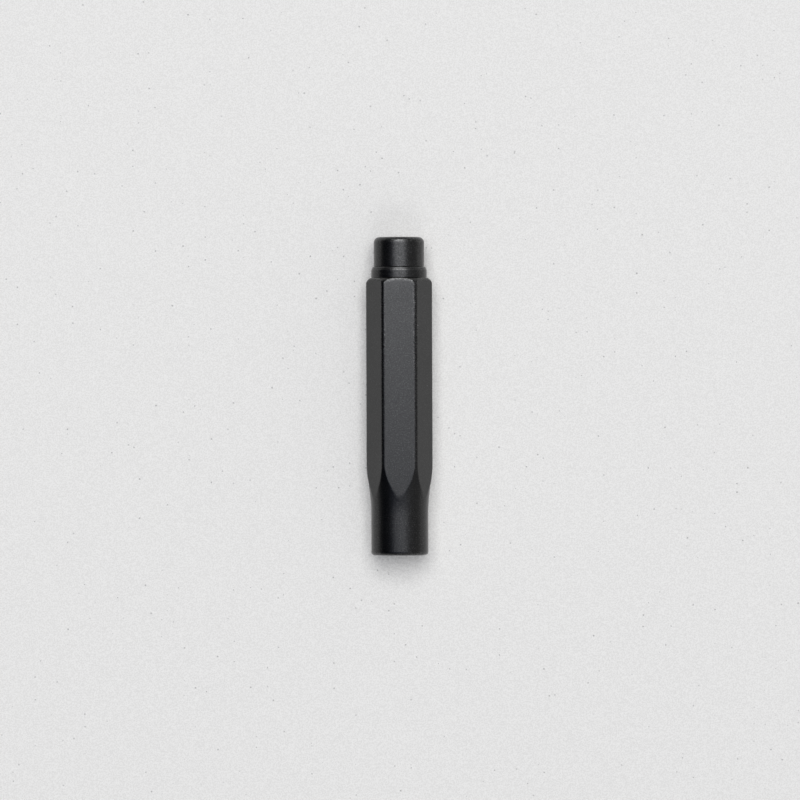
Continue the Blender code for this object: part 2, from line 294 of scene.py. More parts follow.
class HolderSizes(PropertyGroup):
    """Sizes of the eraser holder: collar, stem with its thread, spigot and pocket."""

    seat: length("Seat station", "Station of the collar's underside", BARREL_HIGH.y - MOUTH_Y + CLEARANCE)
    collar_radius: length("Collar radius", "Outside of the collar", reach("eraser_holder") + FULLER)
    collar_height: length("Collar height", "Height of the collar", 2.0 * MM)
    bevel_height: length("Bevel height", "Height of the bevel on the collar's upper edge", 0.62 * MM)
    bevel_depth: length("Bevel depth", "Depth of that bevel", 0.285 * MM)
    stem_radius: length("Stem radius", "Root of the stem's thread", 4.5 * MM)
    neck_radius: length("Neck radius", "Neck that carries the collar's rubber ring", 4.45 * MM)
    neck_height: length("Neck height", "Height of that neck", 0.65 * MM)
    stem_lead: length("Stem lead", "Plain end of the stem below its thread", 0.6 * MM)
    thread_pitch: length("Thread pitch", "Rise of the thread in one turn", 0.75 * MM)
    thread_depth: length("Thread depth", "Height of the thread", 0.4 * MM)
    thread_turns: IntProperty(name="Thread turns", description="Turns of the stem's thread", default=4, min=1)
    flank_gap: length("Flank gap", "Axial play on each flank of the thread", 0.07 * MM)
    groove_mouth: share("Groove mouth", "Width of the thread's groove at the bore, in pitches", 0.76)
    groove_root: share("Groove root", "Width of the thread's groove at its root, in pitches", 0.36)
    spigot_radius: length("Spigot radius", "Spigot inside the knob", 3.8 * MM)
    ring_groove: length("Ring groove radius", "Root of the groove for the knob's rubber ring", 3.24 * MM)
    pocket_radius: length("Pocket radius", "Pocket for the eraser", 2.84 * MM)
    eraser_stand: length("Eraser stand", "How far the eraser stands out of the spigot", 0.8 * MM)


class KnobSizes(PropertyGroup):
    """Sizes of the pull-off knob."""

    knob_radius: length("Radius", "Outside of the knob", reach("knob") + FULLER)
    bore_radius: length("Bore radius", "Inside of the knob", 3.94 * MM)
    roof: length("Roof", "Thickness of the closed end", 0.8 * MM)
    edge_radius: length("Edge radius", "Rounding of the closed end's edge", 1.05 * MM)
    skirt_edge: length("Skirt edge", "Rounding of the open end's outer edge", 0.03 * MM)
    skirt_drop: length("Skirt drop", "How far the skirt reaches below its solid", 0.1 * MM)


class CapFinish(PropertyGroup):
    """Colours of the finishes, in linear light."""

    anodised: colour("Anodised black", "Bead-blasted black aluminium", (0.052, 0.052, 0.052))
    dust: colour("Dust", "Specks that have settled on the metal", (0.3, 0.3, 0.3))
    rubber: colour("Rubber", "Moulded black rubber", (0.011, 0.011, 0.011))
    acetal: colour("Acetal", "Turned black plastic sleeves", (0.02, 0.02, 0.021))
    vinyl: colour("Vinyl", "White eraser", (0.82, 0.81, 0.78))
    felt: colour("Felt", "Pressed grey felt", (0.22, 0.22, 0.23))


class StageSettings(PropertyGroup):
    """Floor, light and camera."""

    floor_size: length("Floor size", "Side of the square floor", 6.0)
    floor: colour("Floor", "Pale floor", (0.706, 0.694, 0.666))
    floor_glow: radiance("Floor glow", "Lift of the floor's shadows for the lens and reflections", 0.125)
    field: length("Field", "Width of the picture at the cap's axis", 151.85 * MM)
    camera_rise: length("Camera rise", "Camera's height above the cap's axis", 2.0)
    camera_x: offset("Camera X", "Camera's place across", 0.115 * MM)
    camera_y: offset("Camera Y", "Camera's place along", -0.731 * MM)
    roll: bearing("Roll", "Camera's turn", -0.19)
    softbox_distance: length("Softbox distance", "Cap to the softbox past its knob", 1.2)
    softbox_tilt: bearing("Softbox tilt", "Softbox's angle from straight up", 47.8)
    softbox_x: offset("Softbox X", "Softbox's place across", 0.025)
    softbox_width: length("Softbox width", "Width of the softbox", 0.835)
    softbox_height: length("Softbox height", "Height of the softbox", 0.652)
    softbox_glow: radiance("Softbox glow", "Radiance of the softbox", 5.27)
    overhead_rise: length("Overhead rise", "Height of the panel over the cap", 0.428)
    overhead_x: offset("Overhead X", "Panel's place across", 0.021)
    overhead_y: offset("Overhead Y", "Panel's place along", 0.15)
    overhead_width: length("Overhead width", "Width of the panel", 0.408)
    overhead_depth: length("Overhead depth", "Depth of the panel along the cap", 0.2855)
    overhead_glow: radiance("Overhead glow", "Radiance of the panel", 3.26)
    floor_lamp_rise: length("Floor lamp rise", "Height of the panels that light the floor alone", 2.33)
    floor_lamp_x: offset("Floor lamp X", "Main floor panel's place across", -0.045)
    floor_lamp_y: offset("Floor lamp Y", "Main floor panel's place along", 0.72)
    floor_lamp_width: length("Floor lamp width", "Width of the main floor panel", 1.6)
    floor_lamp_depth: length("Floor lamp depth", "Depth of the main floor panel", 1.64)
    floor_lamp_glow: radiance("Floor lamp glow", "Radiance of the main floor panel", 6.0)
    floor_fill_x: offset("Floor fill X", "Weak floor panel's place across", 0.111)
    floor_fill_y: offset("Floor fill Y", "Weak floor panel's place along", -1.553)
    floor_fill_size: length("Floor fill size", "Side of the weak floor panel past the mouth", 0.714)
    floor_fill_glow: radiance("Floor fill glow", "Radiance of the weak floor panel", 4.57)
    light: colour("Light", "Colour of the lights", (0.985, 0.99, 1.0))
    room_left: colour("Room left", "Radiance of the room on the left", (0.004, 0.007, 0.018))
    room_right: colour("Room right", "Radiance of the room on the right", (0.295, 0.295, 0.298))
    ceiling: colour("Ceiling", "Radiance that the ceiling adds straight above", (0.03, 0.055, 0.125))
    fill: colour("Fill", "Radiance that the room adds past the cap's mouth", (0.33, 0.33, 0.34))


# Outlines and surfaces


def corner_arc(before, here, after, rounding):
    """Points on an arc of radius rounding that is tangent to the lines before-here and here-after.

    The arc starts at here less rounding times tan(half the turn) on the first line. Each of its points goes
    on by rounding times the sine of its angle, and aside by rounding times one less its cosine. A rounding of
    0 gives the corner itself, between two points that keep the runs beside it flat.
    """
    first = (here - before) / np.linalg.norm(here - before)
    last = (after - here) / np.linalg.norm(after - here)
    if rounding == 0.0:
        return np.array((here - FLAT_SUPPORT * first, here, here + FLAT_SUPPORT * last))
    turn = math.atan2(first[0] * last[1] - first[1] * last[0], first @ last)
    aside = math.copysign(1.0, turn) * np.array((-first[1], first[0]))
    start = here - rounding * math.tan(abs(turn) / 2) * first
    angle = np.linspace(0.0, abs(turn), ARC_STEPS + 1)[:, None]
    arc = start + rounding * (np.sin(angle) * first + (1 - np.cos(angle)) * aside)
    return np.vstack((start - FLAT_SUPPORT * first, arc, arc[-1] + FLAT_SUPPORT * last))


def outline(corners, closed=False):
    """A turned outline through (radius, station, rounding, rows) corners, as an array of (radius, station).

    Each corner is an arc of its rounding, and rows is the number of even points on the run that follows it.
    Both may be left out. An open outline keeps its two end points as they are.
    """
    full = [(*corner, 0.0, 0)[:4] for corner in corners]
    points = np.array([corner[:2] for corner in full])
    count = len(full)
    arcs = []
    for k, corner in enumerate(full):
        if closed or 0 < k < count - 1:
            arcs.append(corner_arc(points[k - 1], points[k], points[(k + 1) % count], corner[2]))
        else:
            arcs.append(points[k : k + 1])
    rows = []
    for k, corner in enumerate(full):
        rows.append(arcs[k])
        steps = int(corner[3])
        if steps:
            along = np.linspace(0.0, 1.0, steps + 2)[1:-1, None]
            rows.append(arcs[k][-1] + along * (arcs[(k + 1) % count][0] - arcs[k][-1]))
    return np.vstack(rows)


def outward_bend(points, normals, closed):
    """How much the surface curves outwards at each point, in radians per millimetre.

    The bend along the rows and along the columns is the change of direction between the steps before and
    after a point, over their mean length. The larger of the two counts, and only if it bends away from the
    normal.
    """
    most = np.zeros(points.shape[:2])
    for axis in (0, 1):
        before = points - np.roll(points, 1, axis)
        after = np.roll(points, -1, axis) - points
        before_length = np.linalg.norm(before, axis=2) + SMALLEST
        after_length = np.linalg.norm(after, axis=2) + SMALLEST
        bend = after / after_length[..., None] - before / before_length[..., None]
        bend /= (before_length + after_length)[..., None] / 2
        outward = -np.sum(bend * normals, axis=2) * MM
        if axis == 0 and not closed:
            outward[[0, -1]] = 0.0
        most = np.maximum(most, outward)
    return most


def edge_share(bend):
    """How far each point stands on an outer edge, from 0 to 1, running out over a few columns beside it."""
    edge = np.clip((bend - EDGE_BEND) / (SHARP_BEND - EDGE_BEND), 0.0, 1.0)
    wide = edge
    for step in range(1, EDGE_SPREAD + 1):
        beside = np.maximum(np.roll(edge, step, 1), np.roll(edge, -step, 1))
        wide = np.maximum(wide, beside * (1 - step / (EDGE_SPREAD + 1)))
    return wide


def turned_piece(name, radius, station, angle, closed, material):
    """An object whose point (row, column) lies at a radius and station, on the angle of its column.

    From the axis, a point is its radius times the cosine of its angle across, and times the sine up. radius
    and station are arrays of rows by columns. Columns always join up round the axis. Rows join up if closed,
    and otherwise start and end on the axis, where a whole row is one point.
    """
    rows, columns = radius.shape
    across = radius * np.cos(angle)
    up = radius * np.sin(angle)
    points = np.stack((across, MOUTH_Y + station, AXIS_Z + up), axis=2)
    along = np.roll(points, -1, 0) - np.roll(points, 1, 0)
    around = np.roll(points, -1, 1) - np.roll(points, 1, 1)
    normals = np.cross(along, around)
    normals /= np.linalg.norm(normals, axis=2)[..., None] + SMALLEST**2
    bend = outward_bend(points, normals, closed)

    index = np.arange(rows * columns).reshape(rows, columns)
    if not closed:
        index[0] = index[0, 0]
        index[-1] = index[-1, 0]
    here = index if closed else index[:-1]
    above = np.roll(index, -1, 0) if closed else index[1:]
    faces = np.stack((here, above, np.roll(above, -1, 1), np.roll(here, -1, 1)), axis=2)
    used, faces = np.unique(faces, return_inverse=True)
    faces = faces.reshape(-1, columns, 4)
    if closed:
        polygons = faces.reshape(-1, 4).tolist()
    else:
        first_fan = faces[0, :, :3]
        last_fan = faces[-1][:, [0, 1, 3]]
        polygons = faces[1:-1].reshape(-1, 4).tolist() + first_fan.tolist() + last_fan.tolist()

    mesh = bpy.data.meshes.new(name)
    mesh.from_pydata(points.reshape(-1, 3)[used], [], polygons)
    for label, values in (("edge", edge_share(bend)), ("bend", np.clip(bend / FULL_BEND, 0.0, 1.0))):
        mesh.attributes.new(label, "FLOAT", "POINT").data.foreach_set("value", values.reshape(-1)[used])
    mesh.shade_smooth()
    mesh.materials.append(material)
    piece = bpy.data.objects.new(name, mesh)
    bpy.context.scene.collection.objects.link(piece)
    return piece


def round_columns():
    """Even angles all round the axis, and a one for each of them."""
    angle = np.linspace(0.0, 2 * math.pi, ROUND_COLUMNS, endpoint=False)
    return angle, np.ones_like(angle)


def round_piece(name, corners, closed, material):
    """A plain turned piece: its outline, the same on every angle."""
    rows = outline(corners, closed)
    angle, level = round_columns()
    return turned_piece(name, rows[:, :1] * level, rows[:, 1:] * level, angle, closed, material)


def rubber_ring(name, node, material):
    """A ring of round section that fills the box of its node: a circle that is carried round the axis."""
    first, last = span(node)
    half = (last - first) / 2
    turn = np.linspace(0.0, 2 * math.pi, RING_ROWS, endpoint=False)[:, None]
    angle, level = round_columns()
    radius = (reach(node) - half + half * np.cos(turn)) * level
    station = ((first + last) / 2 + half * np.sin(turn)) * level
    return turned_piece(name, radius, station, angle, True, material)


def smooth_step(low, high, value):
    """0 below low, 1 above high, and three squares less two cubes between."""
    t = np.clip((value - low) / (high - low), 0.0, 1.0)
    return t * t * (3 - 2 * t)


def thread_form(holder, angle, station, start, turns, play):
    """Height of a right-hand thread over its root, at each angle and station.

    The ridge's middle rises one pitch a turn from start. A point's distance from the nearest middle gives a
    trapezium with straight flanks, narrowed by play, which fades out over part of a turn at both ends.
    """
    turned = (station - start) / holder.thread_pitch + angle / (2 * math.pi)
    lap = np.round(turned)
    off = np.abs(turned - lap) * holder.thread_pitch
    foot = holder.groove_mouth * holder.thread_pitch / 2 - play
    top = holder.groove_root * holder.thread_pitch / 2 - play
    ridge = np.clip((foot - off) / (foot - top), 0.0, 1.0)
    wound = lap - angle / (2 * math.pi)
    fade_in = smooth_step(-THREAD_FADE, 0.0, wound)
    fade_out = smooth_step(-THREAD_FADE, 0.0, turns - wound)
    return holder.thread_depth * ridge * fade_in * fade_out


def stem_end(holder):
    """Station of the stem's lower end."""
    thread = (holder.thread_turns + RUN_OUT_TURNS) * holder.thread_pitch
    return holder.seat - holder.neck_height - thread - holder.stem_lead


def thread_start(holder):
    """Station where the stem's thread starts."""
    return stem_end(holder) + holder.stem_lead + holder.thread_pitch / 2


# Barrel


def edge_circle(barrel):
    """Axis to the centre of a long edge's rounding, and the angle off the corner where it runs into the flat.

    The centre lies on the corner's own line, one rounding inside the flats. The rounding ends one rounding
    from there in the flat's direction, half a sector aside, so half a rounding off the corner's line.
    """
    centre = (barrel.flat_radius - barrel.edge_radius) / math.cos(HALF_SECTOR)
    tangent = math.atan2(barrel.edge_radius / 2, centre + barrel.edge_radius * math.cos(HALF_SECTOR))
    return centre, tangent


def hexagon_columns(barrel):
    """Angles of the barrel's columns: even on each rounded edge, and closer beside it than mid-flat."""
    tangent = edge_circle(barrel)[1]
    edge = np.linspace(0.0, tangent, EDGE_COLUMNS)
    fall = np.cos(np.linspace(0.0, math.pi / 2, FLAT_COLUMNS))
    flat = HALF_SECTOR - np.arctan(math.tan(HALF_SECTOR - tangent) * fall)
    half = np.concatenate((edge, flat[1:]))
    sector = np.concatenate((half, SECTOR - half[-2:0:-1]))
    return (np.arange(SIDES)[:, None] * SECTOR + sector).ravel()


def hexagon_radius(barrel, angle):
    """Axis to the outside of a hexagon with rounded edges, at each angle.

    Off the corner by an angle a, the flat lies at its radius over cos(half a sector less a). Up to the end of
    the rounding the outside lies on the rounding's circle instead: its centre times the cosine of a, plus the
    root of the rounding's square less the square of the centre times the sine of a.
    """
    off = np.abs((angle + HALF_SECTOR) % SECTOR - HALF_SECTOR)
    flat = barrel.flat_radius / np.cos(HALF_SECTOR - off)
    centre, tangent = edge_circle(barrel)
    inside = np.maximum(barrel.edge_radius**2 - (centre * np.sin(off)) ** 2, 0.0)
    edge = centre * np.cos(off) + np.sqrt(inside)
    return np.where(off < tangent, edge, flat)


class TurnedBlank:
    """The turned outside of the barrel before its flats: socket, taper, blank and crown.

    The taper is a hollow arc and a swelling arc that meet on one tangent. The angle of that tangent is twice
    that of the line between the taper's ends, and the two radii add up to the taper's length over its sine.
    """

    def __init__(self, barrel):
        corner = float(hexagon_radius(barrel, np.zeros(1))[0])
        self.socket = barrel.socket_radius
        self.blank = corner + barrel.blank_margin
        self.taper_start = barrel.socket_length
        self.taper_end = barrel.socket_length + barrel.taper_length
        slope = 2 * math.atan2(self.blank - self.socket, barrel.taper_length)
        both = barrel.taper_length / math.sin(slope)
        self.hollow = barrel.taper_hollow * both
        self.swell = both - self.hollow
        self.meeting = self.taper_start + self.hollow * math.sin(slope)
        self.crown = barrel.crown_radius
        self.crown_centre = self.blank - self.crown
        self.seat_angle = math.acos(max(0.0, (barrel.shoulder_radius - self.crown_centre) / self.crown))
        self.crown_start = barrel.barrel_length - self.crown * math.sin(self.seat_angle)

    def radius(self, station):
        """Outside radius at each station."""
        into = np.clip(station - self.taper_start, 0.0, self.hollow)
        hollow = self.socket + self.hollow - np.sqrt(self.hollow**2 - into**2)
        short = np.clip(self.taper_end - station, 0.0, self.swell)
        swell = self.blank - self.swell + np.sqrt(self.swell**2 - short**2)
        past = np.clip(station - self.crown_start, 0.0, self.crown)
        crown = self.crown_centre + np.sqrt(self.crown**2 - past**2)
        return np.where(station < self.meeting, hollow, np.where(station < self.crown_start, swell, crown))

    def taper_crease(self, hexagon):
        """Station where the taper reaches each hexagon radius."""
        into = self.hollow**2 - (self.hollow - (hexagon - self.socket)) ** 2
        hollow = self.taper_start + np.sqrt(np.maximum(into, 0.0))
        short = self.swell**2 - (self.swell - (self.blank - hexagon)) ** 2
        swell = self.taper_end - np.sqrt(np.maximum(short, 0.0))
        return np.where(hollow < self.meeting, hollow, swell)

    def crown_angle(self, hexagon):
        """Angle on the crown's arc where it leaves each hexagon radius."""
        return np.arccos(np.clip((hexagon - self.crown_centre) / self.crown, -1.0, 1.0))


def outside_surface(barrel, angle):
    """Rows by columns of the barrel's radius and station, from the mouth up the outside to the collar's seat.

    The outside is the lesser of the hexagon and the turned blank. Where the two differ by less than an
    easing, the square of what is left of the easing, over four easings, is cut away too. The rows between the
    ends follow the creases where the two meet, so that each crease is a line of the mesh. They crowd towards
    the creases, by a sine on the taper and by a cosine on the hexagon.
    """
    hexagon = hexagon_radius(barrel, angle)
    blank = TurnedBlank(barrel)
    level = np.ones_like(angle)
    low_crease = blank.taper_crease(hexagon)
    high_angle = blank.crown_angle(hexagon)
    high_crease = blank.crown_start + blank.crown * np.sin(high_angle)

    turn = np.linspace(-math.pi / 2, 0.0, ARC_STEPS + 1)[:, None]
    mouth_radius = (barrel.socket_radius - barrel.mouth_edge + barrel.mouth_edge * np.cos(turn)) * level
    mouth_station = barrel.mouth_edge * (1 + np.sin(turn)) * level
    low = barrel.mouth_edge + FLAT_SUPPORT
    straight = np.linspace(low, barrel.socket_length, SOCKET_ROWS)[:, None] * level
    rise = np.sin(np.linspace(0.0, math.pi / 2, TAPER_ROWS))[1:, None]
    taper = barrel.socket_length + rise * (low_crease - barrel.socket_length)
    spread = (0.5 - 0.5 * np.cos(np.linspace(0.0, math.pi, HEX_ROWS)))[1:, None]
    prism = low_crease + spread * (high_crease - low_crease)
    ease = np.linspace(0.0, 1.0, CROWN_ROWS)[1:, None]
    crown_turn = high_angle + ease * (blank.seat_angle - high_angle)
    crown = blank.crown_start + blank.crown * np.sin(crown_turn)

    station = np.vstack((straight, taper, prism))
    turned = np.vstack((blank.radius(station), blank.crown_centre + blank.crown * np.cos(crown_turn)))
    station = np.vstack((station, crown))
    room = barrel.crown_blend * (blank.blank - hexagon)
    easing = np.where(station > blank.taper_end, room, np.minimum(room, barrel.crease_softness))
    cut = np.maximum(easing - np.abs(hexagon - turned), 0.0) ** 2 / (4 * easing)
    outside = np.minimum(hexagon, turned) - cut
    return np.vstack((mouth_radius, outside)), np.vstack((mouth_station, station))


def bore_surface(barrel, holder, angle):
    """Rows by columns of the barrel's radius and station, from the collar's seat down the bore to the mouth.

    The bore is a turned outline, with the groove of the stem's thread added to its radius below the recess.
    """
    top = barrel.barrel_length
    recess_floor = top - barrel.recess_depth
    groove_turns = holder.thread_turns + SPARE_TURNS
    run_turns = groove_turns + RUN_OUT_TURNS
    thread_low = recess_floor - run_turns * holder.thread_pitch
    rows = outline(
        [
            (barrel.shoulder_radius, top),
            (barrel.recess_radius, top, RECESS_EDGE),
            (barrel.recess_radius, recess_floor, RECESS_EDGE),
            (barrel.main_bore, recess_floor, RECESS_EDGE, run_turns * THREAD_ROWS_PER_PITCH),
            (barrel.main_bore, thread_low, 0.0, PLAIN_ROWS),
            (barrel.main_bore, barrel.grip_depth, GRIP_CORNER),
            (barrel.mouth_bore, barrel.grip_depth, GRIP_EDGE, PLAIN_ROWS),
            (barrel.mouth_bore, barrel.mouth_chamfer, LEAD_IN_EDGE),
            (barrel.mouth_bore + barrel.mouth_chamfer, 0.0, RIM_EDGE),
            (barrel.socket_radius - barrel.mouth_edge - FLAT_SUPPORT, 0.0),
        ]
    )
    level = np.ones_like(angle)
    station = rows[1:, 1:] * level
    in_thread = (station > thread_low) & (station < recess_floor)
    start = thread_start(holder) - holder.thread_pitch
    groove = thread_form(holder, angle, station, start, groove_turns, 0.0)
    return rows[1:, :1] * level + np.where(in_thread, groove, 0.0), station


# Eraser holder


def holder_surface(holder):
    """Angles, and rows by columns of radius and station, from the stem's end up the outside into the pocket.

    The holder is a turned outline, with the ridge of its thread added to the radius of the stem.
    """
    low = stem_end(holder)
    thread_low = low + holder.stem_lead
    thread_rows = (holder.thread_turns + RUN_OUT_TURNS) * THREAD_ROWS_PER_PITCH
    neck = holder.seat - holder.neck_height
    neck_step = NECK_SLOPE * (holder.stem_radius - holder.neck_radius)
    collar_top = holder.seat + holder.collar_height
    bevel = collar_top - holder.bevel_height
    groove_low, groove_high = span("knob_ring")
    groove_low -= CLEARANCE
    groove_high += CLEARANCE
    eraser_low, eraser_high = span("eraser")
    spigot_top = eraser_high - holder.eraser_stand
    pocket_floor = eraser_low - CLEARANCE
    rows = outline(
        [
            (0.0, low),
            (holder.stem_radius, low, STEM_EDGE),
            (holder.stem_radius, thread_low, 0.0, thread_rows),
            (holder.stem_radius, neck),
            (holder.neck_radius, neck + neck_step),
            (holder.neck_radius, holder.seat, NECK_CORNER),
            (holder.collar_radius, holder.seat, SEAT_EDGE),
            (holder.collar_radius, bevel, BEVEL_LOW_EDGE),
            (holder.collar_radius - holder.bevel_depth, collar_top, BEVEL_HIGH_EDGE),
            (holder.spigot_radius, collar_top, COLLAR_CORNER),
            (holder.spigot_radius, groove_low, GROOVE_EDGE),
            (holder.ring_groove, groove_low, GROOVE_EDGE),
            (holder.ring_groove, groove_high, GROOVE_EDGE),
            (holder.spigot_radius, groove_high, GROOVE_EDGE),
            (holder.spigot_radius, spigot_top, SPIGOT_EDGE),
            (holder.pocket_radius, spigot_top, SPIGOT_EDGE),
            (holder.pocket_radius, pocket_floor, POCKET_CORNER),
            (0.0, pocket_floor),
        ]
    )
    angle, level = round_columns()
    radius = rows[:, :1] * level
    station = rows[:, 1:] * level
    in_thread = (radius == holder.stem_radius) & (station > thread_low) & (station < neck)
    start = thread_start(holder)
    ridge = thread_form(holder, angle, station, start, holder.thread_turns, holder.flank_gap)
    return angle, radius + np.where(in_thread, ridge, 0.0), station


# Nodes


def add(tree, kind, inputs=None, **settings):
    """A new node with its settings. Each input is a value, or another node's output to link."""
    made = tree.nodes.new(kind)
    for key, value in settings.items():
        setattr(made, key, value)
    for key, value in (inputs or {}).items():
        if isinstance(value, bpy.types.NodeSocket):
            tree.links.new(value, made.inputs[key])
        else:
            made.inputs[key].default_value = value
    return made


def math_node(tree, operation, first, second=0.0):
    """One step of arithmetic."""
    return add(tree, "ShaderNodeMath", {0: first, 1: second}, operation=operation).outputs[0]


def ramp(tree, value, limits, ends=(0.0, 1.0)):
    """The first end below the first limit, the last above the last, with a smooth step between."""
    low, high = limits
    start, end = ends
    inputs = {"Value": value, "From Min": low, "From Max": high, "To Min": start, "To Max": end}
    return add(tree, "ShaderNodeMapRange", inputs, interpolation_type="SMOOTHSTEP").outputs["Result"]


def noise(tree, vector, scale, detail=2.0):
    """Cloudy noise of so many cells per metre."""
    inputs = {"Vector": vector, "Scale": scale, "Detail": detail}
    return add(tree, "ShaderNodeTexNoise", inputs).outputs["Fac"]


def mix_colour(tree, factor, first, second, blend="MIX"):
    """Two colours, or outputs that carry them, mixed by a factor."""
    made = add(tree, "ShaderNodeMix", {"Factor": factor}, data_type="RGBA", blend_type=blend)
    for socket, value in ((made.inputs[MIX_FIRST], first), (made.inputs[MIX_SECOND], second)):
        if isinstance(value, bpy.types.NodeSocket):
            tree.links.new(value, socket)
        else:
            socket.default_value = (*value, 1.0)
    return made.outputs[MIX_RESULT]


def shade(tone, factor):
    """A colour that is lighter or darker by a factor."""
    return tuple(factor * part for part in tone)


# Effects that finishes share


def effect(name, inputs, outputs):
    """A node group with float or vector inputs and float outputs, with its input and output nodes."""
    made = bpy.data.node_groups.new(name, "ShaderNodeTree")
    for label, default in inputs.items():
        kind = "NodeSocketVector" if default is None else "NodeSocketFloat"
        socket = made.interface.new_socket(name=label, in_out="INPUT", socket_type=kind)
        if default is not None:
            socket.default_value = default
    for label in outputs:
        made.interface.new_socket(name=label, in_out="OUTPUT", socket_type="NodeSocketFloat")
    return made, made.nodes.new("NodeGroupInput"), made.nodes.new("NodeGroupOutput")


def surface_grain(name):
    """A fine grain, its peaks as glints, a relief's height from fine and coarse noise, and a slow mottle."""
    inputs = {"Vector": None, "Scale": 6000.0, "Coarse Share": 0.35}
    tree, given, out = effect(name, inputs, ("Grain", "Glint", "Height", "Mottle"))
    vector, scale = given.outputs["Vector"], given.outputs["Scale"]
    fine = noise(tree, vector, scale, detail=1.0)
    tree.links.new(ramp(tree, fine, GRAIN_RANGE), out.inputs["Grain"])
    tree.links.new(ramp(tree, fine, GLINT_RANGE), out.inputs["Glint"])
    coarse = noise(tree, vector, math_node(tree, "MULTIPLY", scale, COARSER))
    part = math_node(tree, "MULTIPLY", coarse, given.outputs["Coarse Share"])
    tree.links.new(math_node(tree, "ADD", fine, part), out.inputs["Height"])
    slow = noise(tree, vector, math_node(tree, "MULTIPLY", scale, SLOWER), detail=3.0)
    tree.links.new(ramp(tree, slow, GRAIN_RANGE), out.inputs["Mottle"])
    return tree


def edge_rub_and_highlight(name):
    """Where handling has rubbed the edges, and on the metal where a painted highlight runs along them: the
    mesh's edge attribute, broken up by noise.
    """
    tree, given, out = effect(name, {"Vector": None, "Edge": 0.0, "Scale": 900.0, "Amount": 0.5}, ("Mask",))
    cloud = noise(tree, given.outputs["Vector"], given.outputs["Scale"], detail=4.0)
    worn = math_node(tree, "MULTIPLY", given.outputs["Edge"], ramp(tree, cloud, WEAR_RANGE))
    tree.links.new(math_node(tree, "MULTIPLY", worn, given.outputs["Amount"]), out.inputs["Mask"])
    return tree


def settled_dust(name):
    """Sparse specks: cells of a grid of points, of which few are large enough to show."""
    tree, given, out = effect(name, {"Vector": None, "Scale": 560.0, "Size": 0.065}, ("Mask",))
    inputs = {"Vector": given.outputs["Vector"], "Scale": given.outputs["Scale"]}
    cells = add(tree, "ShaderNodeTexVoronoi", inputs)
    chance = add(tree, "ShaderNodeSeparateColor", {"Color": cells.outputs["Color"]}).outputs["Red"]
    size = math_node(tree, "MULTIPLY", ramp(tree, chance, SPECK_RANGE), given.outputs["Size"])
    core = math_node(tree, "MULTIPLY", size, SPECK_CORE)
    near = math_node(tree, "SUBTRACT", size, cells.outputs["Distance"])
    rim = math_node(tree, "ADD", math_node(tree, "SUBTRACT", size, core), SPECK_RIM)
    inside = math_node(tree, "DIVIDE", near, rim)
    tree.links.new(add(tree, "ShaderNodeClamp", {"Value": inside}).outputs["Result"], out.inputs["Mask"])
    return tree


def use_effect(tree, make, vector, **values):
    """Outputs of an effect that is placed in a material with its own values, and built on its first use."""
    name = make.__name__.replace("_", " ")
    group = bpy.data.node_groups.get(name) or make(name)
    return add(tree, "ShaderNodeGroup", {"Vector": vector, **values}, node_tree=group).outputs


# Finishes


def new_finish(name):
    """A material with its tree, its shader and its object coordinates."""
    material = bpy.data.materials.new(name)
    material.use_nodes = True
    tree = material.node_tree
    vector = add(tree, "ShaderNodeTexCoord").outputs["Object"]
    return material, tree, tree.nodes["Principled BSDF"], vector


def attribute(tree, name):
    """A value that the mesh holds at each of its points."""
    return add(tree, "ShaderNodeAttribute", attribute_name=name).outputs["Fac"]


def feed(tree, shader, outputs):
    """Link outputs to the shader's sockets by their names."""
    for label, output in outputs.items():
        tree.links.new(output, shader.inputs[label])


def relief(tree, height, depth):
    """The normal of a relief in which a height of 1 stands one depth proud."""
    inputs = {"Height": height, "Distance": depth, "Strength": 1.0}
    return add(tree, "ShaderNodeBump", inputs).outputs["Normal"]


def mottled_colour(tree, grain, tone, factor):
    """A colour that drifts to its shade with the slow mottle."""
    return mix_colour(tree, grain["Mottle"], tone, shade(tone, factor))


def mottled_roughness(tree, grain, ends):
    """A roughness that drifts between two ends with the slow mottle."""
    return ramp(tree, grain["Mottle"], (0.0, 1.0), ends)


def speckled(tree, grain, black, contrast):
    """Black metal, darker and lighter by its grain, with painted glints on the grain's peaks."""
    steps = (DARK_GRAIN, LIGHT_GRAIN, GLINT)
    dark, lighter, glint = (shade(black, 1 + contrast * step) for step in steps)
    return mix_colour(tree, grain["Glint"], mix_colour(tree, grain["Grain"], dark, lighter), glint)


